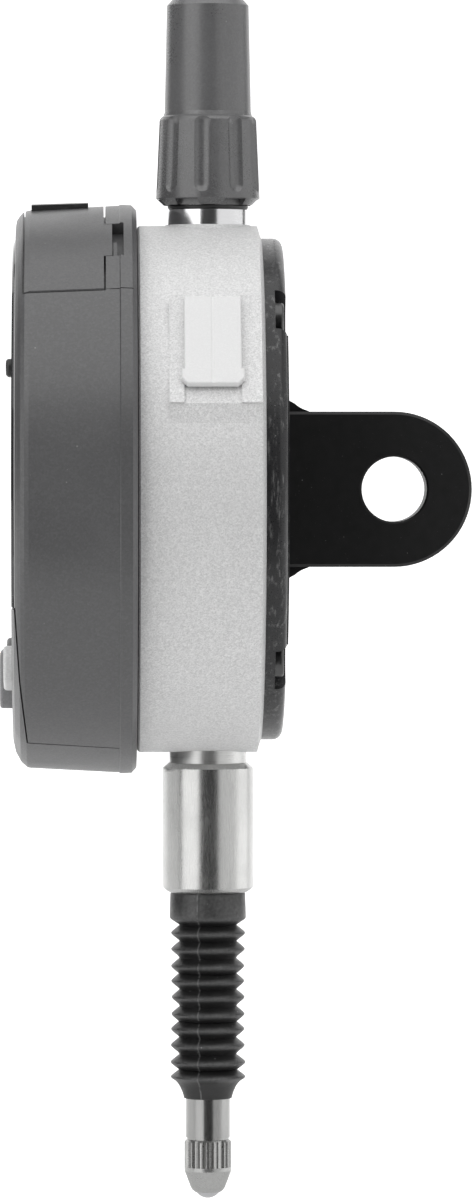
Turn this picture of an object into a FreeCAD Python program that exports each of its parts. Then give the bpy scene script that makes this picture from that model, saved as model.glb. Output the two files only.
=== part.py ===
import FreeCAD, Part
import math
import os

# Plunger-type digital indicator with a swivelling round display.
# Millimetres.  Every piece is drawn about the centre of the round case, with +Z up,
# the display facing -Y and the lug pointing +Y.  On export everything moves up by
# case_height, so that the origin is the middle of the clamping stem.

# ---- driving dimensions ----
case_height = 35.4            # centre of the round case above the middle of the stem
stem_radius = 9.525 / 2       # ground 3/8 inch clamping sleeve
stem_length = 12.5            # straight part of the sleeve
travel = 12.5                 # measuring travel of the spindle
gap = 0.15                    # usual seam between two covers

# round case
case_radius = 27.5
case_front = -7.4
case_rear = 5.5
case_wall = 2.5
front_wall = 2.0
cavity_front = case_front + front_wall
cavity_radius = case_radius - case_wall
boss_radius = 5.4             # bosses round the spindle, top and bottom
lower_boss_top = -17.5
upper_boss_bottom = 18.0
screw_circle = 24.6           # four cover screws at 45 degrees
screw_angles = (45, 135, 225, 315)

# data port: a flat pad standing 30 degrees above the +X axis.  Its sizes are given in
# its own frame, where X points straight out of the pad and Z runs up along it.
port_angle = 30.0
port_face = 27.55
port_front = -4.3
port_top = 7.1
port_ramp_top = -5.6
port_bottom = -7.6
port_step = 0.25
port_hole = (-1.9, 2.1, -2.3, 3.3)       # y0, y1, z0, z1
tab = (-2.8, 3.0, -3.6, 6.4)             # y0, y1, z0, z1 of the pull tab
tab_height = 0.8

# spindle and what it runs in
spindle_radius = 2.33
spindle_bottom = -68.1
spindle_step = 4.0            # above this height the rod is thinner
spindle_top = 32.5
upper_rod_radius = 1.75
running = 0.03                # radial play of the spindle in its bushes
neck_radius = 4.03            # tube under the case that carries the sleeve
sleeve_top = -case_height + stem_length / 2
sleeve_bottom = -case_height - stem_length / 2
bush_bottom = -44.6
top_neck_radius = 4.22
neck_top = 29.3
thread_radius = 3.7
thread_top = 35.5

# bellows
bellows_top = -42.2
collar_bottom = -45.0
bellows_bottom = -63.8
first_peak = -46.5
fold_pitch = 1.68
fold_count = 10
peak_radius = 3.87
valley_radius = 3.0
bellows_wall = 0.42

# contact point
knurl_radius = 2.47
knurl_teeth = 28
knurl_bottom = -71.4
cone_end = -73.65
ball_radius = 1.5
tip = -74.3
stud_radius = 1.25            # thread that holds the contact point
stud_length = 4.6

# screw cap
cap_bottom = 29.65
cap_top = 51.1
flute_count = 9
flute_turn = -87.0            # direction of the first flute, degrees from +X
flute_radius = 1.3
flute_depth = 0.42
notch_count = 6
notch_turn = 33.0
notch_half_width = 1.3

# display head
head_front = -20.0
head_rear = -7.5
head_radius = 29.7
head_split = -9.3             # seam between the front shell and the rear ring
split_radius = head_radius - 0.08
shell_inner = 27.2
lens_radius = 26.0
lens_front = -20.3
lens_rear = -18.75
keypad_top = -12.0
chin_half_width = 13.0
swivel_radius = 8.0
hub_bore = 6.2
stop_circle = 14.0
stop_half_angle = 135.0
stop_pin_radius = 0.6
chin_floor = 28.1             # bottom of the room for the keypad cover's chin
parting = 0.12                # small bevel of the rear ring at the seam
board_rear = -13.6
board_front = -14.6
ring_screw_circle = 25.4
ring_screw_angles = (15, 165, 270)

# battery and its door
battery_radius = 10.0
battery_thickness = 3.2
battery_front = -14.4
battery_height = 15.5
door_half_angle = 46.3
door_front = -19.0
door_rear = -10.9
door_floor = 28.4
door_gap = 0.2
door_bevel = 0.12
latch_rear = -8.87
latch_front = -10.05
latch_angles = (22.5, 36.0)   # from straight up

# keys: x, height, width, depth of outline, tilt in degrees, front face, corner radius
key_play = 0.12
keys = {
    "zero_key": (0.0, -19.8, 11.0, 6.0, 0.0, -21.7, 2.0),
    "right_key": (13.5, -18.3, 6.6, 3.8, 14.0, -21.2, 1.4),
    "left_key": (-13.5, -18.3, 6.6, 3.8, -14.0, -21.2, 1.4),
    "upper_key": (0.0, 12.65, 6.4, 1.9, 0.0, -21.1, 0.9),
}

# back cover and lug
back_radius = 26.2
back_rear = 7.7
plateau_rear = 7.85
plateau_half_height = 16.0
pocket_radius = 2.8
pocket_floor = 6.55
lug_half_width = 8.1
lug_thickness = 6.0
lug_hole_radius = 3.4
lug_hole_y = 19.4
gusset_half = 2.2             # small webs where the lug meets the cover
gusset_length = 2.7
gusset_height = 1.5
gusset_scoop = 3.2
gasket_inner = 25.75
gasket_outer = 26.15
gasket_depth = 0.5

# inside the case
carrier_bottom = -16.45
carrier_top = -6.5
rail_front = -10.5
rail_back = -6.5
rail_middle = (rail_front + rail_back) / 2
rail_screw_heights = (-16.2, 10.0)
board_screw_x = 16.6
board_screw_heights = (-10.5, 8.5)
pin_height = -11.5
spring_wire = 0.2
spring_radius = 3.0
spring_turns = 12
arm_depth = 0.6
scale_depth = 1.6
read_board_front = 2.0
read_board_rear = 3.2


def point(x, y, z):
    return FreeCAD.Vector(x, y, z)


def block(x0, x1, y0, y1, z0, z1):
    return Part.makeBox(x1 - x0, y1 - y0, z1 - z0, point(x0, y0, z0))


def rod(radius, start, end):
    along = end - start
    return Part.makeCylinder(radius, along.Length, start, along)


def rod_y(radius, x, z, y0, y1):
    return rod(radius, point(x, y0, z), point(x, y1, z))


def rod_z(radius, z0, z1):
    return rod(radius, point(0, 0, z0), point(0, 0, z1))


def facing_out(solid):
    if solid.Volume < 0:
        solid.reverse()
    return solid


def polygon_face(points):
    return Part.Face(Part.makePolygon(points + points[:1]))


def turned_z(outline):
    """Solid turned about the spindle axis from (radius, height) corners."""
    face = polygon_face([point(r, 0, z) for r, z in outline])
    return facing_out(face.revolve(point(0, 0, 0), point(0, 0, 1), 360))


def turned_y(outline):
    """Solid turned about the display axis from (radius, y) corners."""
    face = polygon_face([point(r, y, 0) for r, y in outline])
    return facing_out(face.revolve(point(0, 0, 0), point(0, 1, 0), 360))


def tube_z(outer, inner, z0, z1):
    return rod_z(outer, z0, z1).cut(rod_z(inner, z0 - 1, z1 + 1))


def tube_y(outer, inner, y0, y1):
    return rod_y(outer, 0, 0, y0, y1).cut(rod_y(inner, 0, 0, y0 - 1, y1 + 1))


def prism_y(points, y0, y1):
    """Polygon of (x, z) corners drawn out along Y."""
    face = polygon_face([point(x, y0, z) for x, z in points])
    return facing_out(face.extrude(point(0, y1 - y0, 0)))


def prism_x(points, x0, x1):
    """Polygon of (y, z) corners drawn out along X."""
    face = polygon_face([point(x0, y, z) for y, z in points])
    return facing_out(face.extrude(point(x1 - x0, 0, 0)))


def rounded(solid, radius, chosen):
    """Fillet the edges for which chosen(edge) is true."""
    edges = [edge for edge in solid.Edges if chosen(edge)]
    return solid.makeFillet(radius, edges)


def runs_along(edge, axis):
    if not isinstance(edge.Curve, Part.Line):
        return False
    return abs(abs(edge.Curve.Direction.dot(axis)) - 1) < 1e-6


def rounded_block_y(x, z, width, height, y0, y1, corner, tilt=0.0):
    """Block with its four edges along Y rounded, turned about its own middle."""
    solid = block(x - width / 2, x + width / 2, y0, y1, z - height / 2, z + height / 2)
    solid = rounded(solid, corner, lambda edge: runs_along(edge, point(0, 1, 0)))
    solid.rotate(point(x, 0, z), point(0, 1, 0), -tilt)
    return solid


def on_circle(radius, degrees):
    return radius * math.cos(math.radians(degrees)), radius * math.sin(math.radians(degrees))


def at_port(solid):
    """Turn a piece drawn in the port's own frame to its place on the case."""
    solid.rotate(point(0, 0, 0), point(0, 1, 0), -port_angle)
    return solid


def fused(solids):
    whole = solids[0].multiFuse(solids[1:])
    return whole.removeSplitter()


def sector(half_angle, radius, y0, y1, middle=90.0):
    """Wedge about the display axis, opening towards the angle called middle."""
    corners = [(0, 0)]
    steps = 12
    for step in range(steps + 1):
        angle = middle - half_angle + 2 * half_angle * step / steps
        corners.append(on_circle(radius, angle))
    return prism_y(corners, y0, y1)


# ---- fixed case ----

def neck_boss():
    """Low boss under the top neck that flares into the round case."""
    flare = 2.2
    foot = top_neck_radius + 0.25 + flare
    start = point(foot - flare, 0, case_radius + 0.08)
    through = point(foot - flare * 0.85, 0, case_radius + 0.08 - flare * 0.22)
    end = point(foot, 0, case_radius - 0.8)
    edges = [Part.Arc(start, through, end).toShape(),
             Part.makeLine(end, point(foot, 0, case_radius - 2)),
             Part.makeLine(point(foot, 0, case_radius - 2), point(0, 0, case_radius - 2)),
             Part.makeLine(point(0, 0, case_radius - 2), point(0, 0, case_radius + 0.08)),
             Part.makeLine(point(0, 0, case_radius + 0.08), start)]
    whole = Part.Face(Part.Wire(edges)).revolve(point(0, 0, 0), point(0, 0, 1), 360)
    return facing_out(whole).common(block(-9, 9, case_front + 1, case_rear - 0.5, 20, 30))


def housing():
    outer = turned_y([(0, case_front), (case_radius - 0.2, case_front),
                      (case_radius, case_front + 0.2), (case_radius, 5.1),
                      (back_radius, case_rear), (0, case_rear)])
    bevel = 0.15
    pad = polygon_face([point(20, port_front, port_top),
                        point(port_face - bevel, port_front, port_top),
                        point(port_face, port_front, port_top - bevel),
                        point(port_face, port_front, port_ramp_top),
                        point(port_face - port_step, port_front, port_ramp_top),
                        point(case_radius - 1.1, port_front, port_bottom),
                        point(20, port_front, port_bottom)])
    pad = facing_out(pad.extrude(point(0, case_rear - 0.4 - port_front, 0)))
    pad = rounded(pad, 0.6, lambda edge: runs_along(edge, point(1, 0, 0))
                  and edge.BoundBox.YMax < 0 and edge.BoundBox.ZMin > 0)
    nail = block(port_face - port_step, 30, tab[0], tab[1], port_ramp_top - 0.1, tab[2] + 0.4)
    scoop = rod(8.0, point(port_face + 7.3, (tab[0] + tab[1]) / 2, tab[3] + 0.1),
                point(port_face + 7.3, (tab[0] + tab[1]) / 2, port_top + 1))
    side = at_port(pad.cut(nail).cut(scoop))
    shell = outer.fuse(side).fuse(neck_boss())
    shell = shell.cut(rod_y(cavity_radius, 0, 0, cavity_front, case_rear + 1))
    keep_inside = turned_y([(0, cavity_front), (case_radius - 0.5, cavity_front),
                            (case_radius - 0.5, 5.0), (back_radius - 0.2, case_rear),
                            (0, case_rear)])
    bosses = [rod_z(boss_radius, -27, lower_boss_top), rod_z(boss_radius, upper_boss_bottom, 27)]
    for angle in screw_angles:
        x, z = on_circle(screw_circle, angle)
        bosses.append(rod_y(2.6, x, z, cavity_front, case_rear))
    bosses = [boss.common(keep_inside) for boss in bosses]
    for z in rail_screw_heights:
        bosses.append(rod_y(2.0, rail_middle, z, cavity_front - 0.2, -3.5))
    for z in board_screw_heights:
        bosses.append(rod_y(1.8, board_screw_x, z, cavity_front - 0.2, read_board_front))
    shell = fused([shell] + bosses)
    holes = [rod_z(neck_radius, -29, lower_boss_top + 0.5), rod_z(boss_radius - 2.2, -20, 0),
             rod_z(top_neck_radius, upper_boss_bottom - 1, 30),
             rod_y(swivel_radius + 0.05, 0, 0, case_front - 1, cavity_front + 1),
             rod_y(stop_pin_radius, 0, stop_circle, case_front - 1, cavity_front - 0.4),
             at_port(block(23, 30, port_hole[0], port_hole[1], port_hole[2], port_hole[3]))]
    for angle in screw_angles:
        x, z = on_circle(screw_circle, angle)
        holes.append(rod_y(1.0, x, z, -2.0, case_rear + 1))
    for z in rail_screw_heights:
        holes.append(rod_y(0.8, rail_middle, z, -5.2, 0))
    for z in board_screw_heights:
        holes.append(rod_y(0.8, board_screw_x, z, -3.0, read_board_front + 1))
    holes.append(tube_y(gasket_outer, gasket_inner, case_rear - gasket_depth, case_rear + 1))
    for hole in holes:
        shell = shell.cut(hole)
    return shell


def back_gasket():
    return tube_y(gasket_outer, gasket_inner, case_rear - gasket_depth, case_rear)


def back_cover():
    corner = 1.0
    middle = corner * (1 - math.sqrt(0.5))
    start = point(back_radius, back_rear - corner, 0)
    through = point(back_radius - middle, back_rear - middle, 0)
    end = point(back_radius - corner, back_rear, 0)
    edges = [Part.makeLine(point(0, case_rear, 0), point(back_radius, case_rear, 0)),
             Part.makeLine(point(back_radius, case_rear, 0), start),
             Part.Arc(start, through, end).toShape(),
             Part.makeLine(end, point(0, back_rear, 0)),
             Part.makeLine(point(0, back_rear, 0), point(0, case_rear, 0))]
    plate = Part.Face(Part.Wire(edges)).revolve(point(0, 0, 0), point(0, 1, 0), 360)
    plateau = rod_y(back_radius - corner, 0, 0, back_rear - 0.5, plateau_rear)
    plateau = plateau.common(block(-40, 40, 0, 20, -plateau_half_height, plateau_half_height))
    half = lug_thickness / 2
    lug = block(-half, half, back_rear - 0.5, lug_hole_y, -lug_half_width, lug_half_width)
    lug = lug.fuse(rod(lug_half_width, point(-half, lug_hole_y, 0), point(half, lug_hole_y, 0)))
    lug = lug.removeSplitter()
    lug = lug.makeChamfer(0.3, [edge for edge in lug.Edges
                                if abs(abs(edge.CenterOfMass.x) - half) < 1e-6
                                and edge.CenterOfMass.y > back_rear])
    bore = rod(lug_hole_radius, point(-9, lug_hole_y, 0), point(9, lug_hole_y, 0))
    gussets = []
    for side in (-1, 1):
        root = lug_half_width - 0.4
        top = lug_half_width + gusset_height
        corners = [(back_rear - 0.5, root), (plateau_rear + gusset_length, root),
                   (plateau_rear + gusset_length, lug_half_width), (plateau_rear, top),
                   (back_rear - 0.5, top)]
        foot = polygon_face([point(-gusset_half, y, side * z) for y, z in corners])
        foot = facing_out(foot.extrude(point(2 * gusset_half, 0, 0)))
        scoop_y = plateau_rear + gusset_scoop + 0.15
        scoop_z = side * (lug_half_width + gusset_scoop)
        gussets.append(foot.cut(rod(gusset_scoop, point(-9, scoop_y, scoop_z),
                                    point(9, scoop_y, scoop_z))))
    cover = facing_out(plate)
    for piece in [plateau, lug] + gussets:
        cover = cover.fuse(piece)
    cover = cover.removeSplitter().cut(bore)
    sink = 0.2
    for side in (-1, 1):
        cover = cover.cut(Part.makeCone(lug_hole_radius + sink, lug_hole_radius, sink,
                                        point(side * half, lug_hole_y, 0), point(-side, 0, 0)))
    for angle in screw_angles:
        x, z = on_circle(screw_circle, angle)
        cover = cover.cut(rod_y(pocket_radius, x, z, pocket_floor, back_rear + 2))
        cover = cover.cut(rod_y(1.1, x, z, case_rear - 1, back_rear + 2))
        mouth = block(0, 4, pocket_floor, back_rear + 2, -pocket_radius, pocket_radius)
        mouth.rotate(point(0, 0, 0), point(0, 1, 0), -angle)
        mouth.translate(point(x, 0, z))
        cover = cover.cut(mouth)
    return cover




def cross_head_screw(x, z, head_radius, head_bottom, head_top, shank_radius, shank_end):
    """Screw along Y with a domed head at head_top and a cross recess."""
    toward = 1 if head_top > head_bottom else -1
    head = rod_y(head_radius, x, z, head_bottom, head_top)
    rim = [edge for edge in head.Edges if abs(edge.CenterOfMass.y - head_top) < 1e-6
           and edge.BoundBox.YLength < 1e-6]
    head = head.makeFillet(min(0.3, abs(head_top - head_bottom) * 0.4), rim)
    screw = head.fuse(rod_y(shank_radius, x, z, shank_end, head_bottom))
    deep = head_top - 0.45 * toward
    low = min(deep, head_top + toward)
    high = max(deep, head_top + toward)
    arm = head_radius * 0.62
    for half_x, half_z in ((arm, 0.16), (0.16, arm)):
        screw = screw.cut(block(x - half_x, x + half_x, low, high, z - half_z, z + half_z))
    return screw


def back_screws():
    screws = []
    for angle in screw_angles:
        x, z = on_circle(screw_circle, angle)
        screws.append(cross_head_screw(x, z, 1.7, pocket_floor, 7.45, 0.98, -1.5))
    return Part.makeCompound(screws)


# ---- stem, bushes and neck ----

def stem_tube():
    return turned_z([(3.2, -18.5), (neck_radius, -18.5), (neck_radius, bellows_top + 0.05),
                     (3.4, bellows_top + 0.05), (3.4, bush_bottom), (2.6, bush_bottom),
                     (2.6, -40.0), (3.2, -40.0)])


def stem_sleeve():
    return turned_z([(neck_radius, -28.6), (neck_radius + 0.1, -28.6),
                     (stem_radius, sleeve_top), (stem_radius, sleeve_bottom),
                     (4.36, -42.0), (neck_radius + 0.1, -42.15), (neck_radius, -42.15)])


def lower_bush():
    return tube_z(3.2, spindle_radius + running, -40.0, -30.0)


def top_neck():
    return turned_z([(2.6, upper_boss_bottom), (top_neck_radius, upper_boss_bottom),
                     (top_neck_radius, neck_top - 0.15), (top_neck_radius - 0.15, neck_top),
                     (thread_radius, neck_top), (thread_radius, thread_top - 0.4),
                     (thread_radius - 0.4, thread_top), (2.6, thread_top)])


def upper_bush():
    return tube_z(2.6, upper_rod_radius + running, 19.0, 33.0)


def cap_seal():
    ring = tube_z(top_neck_radius - 0.02, thread_radius + 0.02, neck_top, cap_bottom - 0.03)
    return ring.makeFillet(0.12, [edge for edge in ring.Edges
                                  if isinstance(edge.Curve, Part.Circle)
                                  and edge.Curve.Radius > thread_radius + 0.2])


def cap():
    body = turned_z([(0, cap_top), (3.72, cap_top), (4.27, cap_top - 0.6), (4.51, 39.4),
                     (4.62, 39.0), (4.9, 38.8), (5.07, 38.5), (5.42, 30.35), (4.7, cap_bottom),
                     (0, cap_bottom)])
    offset = flute_radius - flute_depth
    for number in range(flute_count):
        angle = flute_turn + 360 / flute_count * number
        low_x, low_y = on_circle(5.37 + offset, angle)
        high_x, high_y = on_circle(5.09 + offset, angle)
        low = point(low_x, low_y, 31.9)
        high = point(high_x, high_y, 38.1)
        groove = rod(flute_radius, low, high)
        for end in (low, high):
            groove = groove.fuse(Part.makeSphere(flute_radius, end))
        body = body.cut(groove)
    for number in range(notch_count):
        notch = block(4.05, 6.0, -notch_half_width, notch_half_width,
                      cap_bottom - 1, cap_bottom + 0.6)
        notch.rotate(point(0, 0, 0), point(0, 0, 1), notch_turn + 360 / notch_count * number)
        body = body.cut(notch)
    bore = rod_z(thread_radius + 0.06, cap_bottom - 1, 36.4)
    return body.cut(bore).cut(rod_z(2.4, 36, 47.5))


# ---- moving spindle ----

def spindle():
    rod_shape = turned_z([(0, spindle_bottom), (2.2, spindle_bottom), (2.2, spindle_bottom + 0.2),
                          (spindle_radius, spindle_bottom + 0.2), (spindle_radius, spindle_step),
                          (upper_rod_radius, spindle_step + 0.5),
                          (upper_rod_radius, spindle_top - 0.3),
                          (upper_rod_radius - 0.3, spindle_top), (0, spindle_top)])
    return rod_shape.cut(rod_z(stud_radius, spindle_bottom - 1, spindle_bottom + stud_length + 0.4))


def contact_point():
    ball_height = tip + ball_radius
    body = turned_z([(0, spindle_bottom), (knurl_radius - 0.25, spindle_bottom),
                     (knurl_radius, spindle_bottom - 0.25), (knurl_radius, knurl_bottom),
                     (1.83, -73.1), (1.62, -73.45), (1.36, cone_end), (0, cone_end)])
    body = body.fuse(rod_z(stud_radius, spindle_bottom - 0.5, spindle_bottom + stud_length))
    half_groove = math.pi * knurl_radius / knurl_teeth
    groove = polygon_face([point(knurl_radius + 0.05, -half_groove, spindle_bottom + 1),
                           point(knurl_radius + 0.05, half_groove, spindle_bottom + 1),
                           point(knurl_radius - 0.2, 0, spindle_bottom + 1)])
    groove = facing_out(groove.extrude(point(0, 0, knurl_bottom - spindle_bottom - 0.6)))
    grooves = []
    for tooth in range(knurl_teeth):
        turned = groove.copy()
        turned.rotate(point(0, 0, 0), point(0, 0, 1), 360 / knurl_teeth * tooth)
        grooves.append(turned)
    body = body.cut(Part.makeCompound(grooves))
    return body.cut(Part.makeSphere(ball_radius, point(0, 0, ball_height)))


def contact_ball():
    return Part.makeSphere(ball_radius, point(0, 0, tip + ball_radius))


def bellows():
    outer = [(2.64, bellows_bottom), (2.74, -63.4), (3.15, -62.6), (3.6, -62.15)]
    for fold in range(fold_count - 1, -1, -1):
        height = first_peak - fold_pitch * fold
        outer.append((peak_radius - 0.1, height - 0.28))
        outer.append((peak_radius, height))
        outer.append((peak_radius - 0.1, height + 0.28))
        outer.append((valley_radius + 0.1, height + fold_pitch / 2 - 0.2))
        outer.append((valley_radius, height + fold_pitch / 2))
        if fold:
            outer.append((valley_radius + 0.1, height + fold_pitch / 2 + 0.2))
    outer.append((4.0, collar_bottom))
    outer.append((4.02, collar_bottom + 0.2))
    outer.append((3.9, bellows_top))
    inner = [(3.42, bellows_top), (3.42, bush_bottom - 0.1)]
    for fold in range(fold_count):
        height = first_peak - fold_pitch * fold
        inner.append((valley_radius - bellows_wall, height + fold_pitch / 2))
        inner.append((peak_radius - bellows_wall - 0.12, height))
    inner.append((2.36, -62.4))
    inner.append((2.36, bellows_bottom))
    return turned_z(outer + inner)


def carrier():
    hub = block(-4.5, 4.5, -3.6, 3.6, carrier_bottom, carrier_top)
    hub = rounded(hub, 0.8, lambda edge: runs_along(edge, point(0, 0, 1)))
    arm = block(0, 13.0, -1.6, arm_depth, carrier_bottom + 0.6, carrier_top - 0.6)
    body = hub.fuse(arm).removeSplitter()
    body = body.cut(rod_z(spindle_radius, -30, 10))
    body = body.cut(rod(0.8, point(-6, 0, pin_height), point(0, 0, pin_height)))
    return body.cut(rod_y(0.9, 0, pin_height, 0, 5))




def carrier_screw():
    grub = rod_y(0.88, 0, pin_height, spindle_radius + 0.05, 3.55)
    return grub.cut(block(-0.2, 0.2, 3.0, 4.0, pin_height - 0.6, pin_height + 0.6))


def guide_pin():
    pin = rod(0.8, point(rail_front + 0.3, 0, pin_height), point(-2.6, 0, pin_height))
    return pin.cut(rod_z(spindle_radius + 0.02, -14, -9))


def guide_rail():
    rail = block(rail_front, rail_back, -3.5, 3.5, -18.5, 12.0)
    rail = rounded(rail, 0.6, lambda edge: runs_along(edge, point(0, 1, 0)))
    rail = rail.cut(block(rail_front - 1, rail_back + 1, -0.83, 0.83, -14.0, 4.0))
    for z in rail_screw_heights:
        rail = rail.cut(rod_y(0.85, rail_middle, z, -5, 5))
    return rail


def guide_rail_screws():
    return Part.makeCompound([cross_head_screw(rail_middle, z, 1.5, 3.5, 4.6, 0.78, -5.0)
                              for z in rail_screw_heights])


def stop_buffer():
    return tube_z(4.2, 2.6, lower_boss_top, carrier_bottom - 0.06)


def return_spring():
    bottom = carrier_top + spring_wire + 0.02
    top = upper_boss_bottom - spring_wire - 0.02
    helix = Part.makeHelix((top - bottom) / spring_turns, top - bottom, spring_radius)
    path = Part.Wire(helix.Edges)
    section = Part.Wire([Part.makeCircle(spring_wire, point(spring_radius, 0, 0),
                                         point(0, 1, 0))])
    coil = path.makePipeShell([section], True, True)
    coil.translate(point(0, 0, bottom))
    return coil


def scale_strip():
    return block(6.2, 12.2, arm_depth, scale_depth, -20.0, 8.0)


def read_head_board():
    board = block(5.2, 19.0, read_board_front, read_board_rear, -14.0, 11.0)
    board = rounded(board, 1.0, lambda edge: runs_along(edge, point(0, 1, 0)))
    for z in board_screw_heights:
        board = board.cut(rod_y(0.9, board_screw_x, z, 0, 5))
    return board


def read_head_chip():
    chip = block(8.0, 14.0, read_board_rear, 4.4, -4.5, 1.5)
    return chip.cut(rod_y(0.4, 9.2, 0.5, 4.2, 5))


def board_screws():
    return Part.makeCompound([cross_head_screw(board_screw_x, z, 1.4, read_board_rear, 4.2,
                                               0.78, -2.6)
                              for z in board_screw_heights])


# ---- data port ----

def port_connector():
    body = block(22.3, 26.0, port_hole[0] + 0.1, port_hole[1] - 0.1,
                 port_hole[2] + 0.1, port_hole[3] - 0.1)
    recess = block(23.5, 27.0, port_hole[0] + 0.7, port_hole[1] - 0.7,
                   port_hole[2] + 0.7, port_hole[3] - 0.7)
    return at_port(body.cut(recess)).cut(port_pins())


def port_pins():
    pins = []
    for row in range(5):
        for column in (-0.5, 0.7):
            z = -1.3 + 0.9 * row
            pins.append(block(21.6, 25.4, column - 0.15, column + 0.15, z - 0.15, z + 0.15))
    return at_port(Part.makeCompound(pins))


def port_cover():
    y0, y1, z0, z1 = tab
    back = port_face + 0.05
    front = port_face + tab_height
    plate = block(back, front, y0, y1, z0, z1)
    lip = prism_x([(y0 + 0.35, z0 - 0.25), (y1 - 0.35, z0 - 0.25), (y1 + 0.28, z0 + 0.4),
                   (y1 + 0.28, z0 + 1.5), (y0 - 0.28, z0 + 1.5), (y0 - 0.28, z0 + 0.4)],
                  back, front)
    face = plate.fuse(lip).removeSplitter()
    rim = [edge for edge in face.Edges if abs(edge.BoundBox.XMin - front) < 1e-6]
    face = face.makeFillet(0.18, rim)
    crease = rod(0.3, point(front + 0.24, (y0 + y1) / 2, z0 - 1),
                 point(front + 0.24, (y0 + y1) / 2, z1 + 1))
    plug = block(26.2, back + 0.2, port_hole[0] + 0.15, port_hole[1] - 0.15,
                 port_hole[2] + 0.15, port_hole[3] - 0.15)
    plug = plug.cut(block(26.0, back - 0.3, port_hole[0] + 0.85, port_hole[1] - 0.85,
                          port_hole[2] + 0.85, port_hole[3] - 0.85))
    return at_port(face.fuse(plug).removeSplitter().cut(crease))


# ---- swivel ----

def swivel_hub():
    return turned_y([(hub_bore, -9.9), (9.6, -9.9), (9.6, head_split), (swivel_radius, head_split),
                     (swivel_radius, -5.17), (7.55, -5.17), (7.55, -4.77),
                     (swivel_radius, -4.77), (swivel_radius, -4.45), (hub_bore, -4.45)])


def swivel_washer():
    return tube_y(10.3, swivel_radius + 0.1, cavity_front + 0.01, -5.22)


def swivel_clip():
    ring = tube_y(9.6, 7.57, -5.15, -4.79)
    return ring.cut(block(-1.6, 1.6, -6, -4, -12, 0))


def stop_pin():
    return rod_y(stop_pin_radius - 0.01, 0, stop_circle, -8.6, cavity_front - 0.45)


def spiral_flex():
    """Flat cable wound in half turns inside the hub, so that the head can turn."""
    thickness = 0.12
    step = 0.55
    faces = []
    radius = hub_bore - 0.5
    centre = 0.0
    direction = 1
    for turn in range(7):
        outer = Part.makeCircle(radius, point(centre, 0, 0), point(0, 1, 0),
                                0 if direction > 0 else 180, 180 if direction > 0 else 360)
        inner = Part.makeCircle(radius - thickness, point(centre, 0, 0), point(0, 1, 0),
                                0 if direction > 0 else 180, 180 if direction > 0 else 360)
        ends = [Part.makeLine(outer.valueAt(outer.FirstParameter),
                              inner.valueAt(inner.FirstParameter)),
                Part.makeLine(outer.valueAt(outer.LastParameter),
                              inner.valueAt(inner.LastParameter))]
        wire = Part.Wire(Part.__sortEdges__([outer, ends[1], inner, ends[0]]))
        faces.append(facing_out(Part.Face(wire).extrude(point(0, 2.2, 0))))
        centre = centre - direction * step / 2
        radius = radius - step / 2
        direction = -direction
    coil = fused(faces)
    coil.translate(point(0, -8.4, 0))
    return coil


# ---- display head ----

def shell_outline():
    """Outside of the front shell, with a rounded front corner, as (radius, y)."""
    corner = [(27.6, 0.0), (28.05, 0.09), (28.45, 0.35), (28.8, 0.65), (29.05, 1.05), (29.12, 1.5)]
    return [(0, head_front)] + [(radius, head_front + depth) for radius, depth in corner] + [
        (split_radius, head_split), (0, head_split)]


def door_sector(grow):
    half = door_half_angle + math.degrees(grow / head_radius)
    return sector(half, 60, door_front - grow, door_rear + grow)


def latch_sector(grow, y0, y1):
    low, high = latch_angles
    extra = math.degrees(grow / head_radius)
    wedges = []
    for side in (-1, 1):
        middle = 90 + side * (low + high) / 2
        wedges.append(sector((high - low) / 2 + extra, 60, y0, y1, middle))
    return wedges


def keypad_slant(grow):
    return prism_x([(-21, keypad_top + grow), (-20.02 + grow, keypad_top + grow),
                    (-19.55 + grow, -19.5), (-18.85 + grow, -26.0), (-18.6 + grow, -31.0),
                    (-21, -31.0)], -40, 40)


def chin_zone(grow):
    half = chin_half_width + grow
    return block(-half, half, -21, head_split + 1, -40, 0)


def hook_lines():
    """Fine grooves level with the door's lower edges, back to the rear of the head."""
    lines = []
    for side in (-1, 1):
        line = sector(0.12, 60, door_rear, head_rear + 1, 90 + side * door_half_angle)
        lines.append(line.cut(rod_y(split_radius - 0.1, 0, 0, -30, 0)))
    return lines


def bezel():
    shell = turned_y(shell_outline())
    shell = shell.cut(rod_y(shell_inner, 0, 0, -17.2, head_split + 1))
    shell = shell.cut(rod_y(24.6, 0, 0, -22, -16))
    shell = shell.cut(rod_y(lens_radius + 0.1, 0, 0, -22, lens_rear + 0.05))
    bosses = []
    for angle in ring_screw_angles:
        x, z = on_circle(ring_screw_circle, angle)
        bosses.append(rod_y(2.0, x, z, -17.4, head_split))
    shell = fused([shell] + bosses)
    shell = shell.cut(keypad_slant(gap))
    key_room = rod_y(27.0, 0, 0, -22, -17.0).common(block(-40, 40, -22, -16, -40, keypad_top))
    shell = shell.cut(key_room)
    chin = chin_zone(gap).cut(rod_y(chin_floor - gap, 0, 0, -30, 0))
    shell = shell.cut(chin)
    door = door_sector(door_gap).cut(rod_y(door_floor, 0, 0, -30, 0))
    shell = shell.cut(door)
    for line in hook_lines():
        shell = shell.cut(line)
    for wedge in latch_sector(0.1, door_rear - 0.5, head_split + 1):
        shell = shell.cut(wedge.cut(rod_y(door_floor, 0, 0, -30, 0)))
    window = block(-battery_radius - 0.5, battery_radius + 0.5, battery_front - 0.3,
                   battery_front + battery_thickness + 0.2, 20, 40)
    shell = shell.cut(window)
    for angle in ring_screw_angles:
        x, z = on_circle(ring_screw_circle, angle)
        shell = shell.cut(rod_y(0.8, x, z, -14.0, head_split + 1))
    return shell


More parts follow.
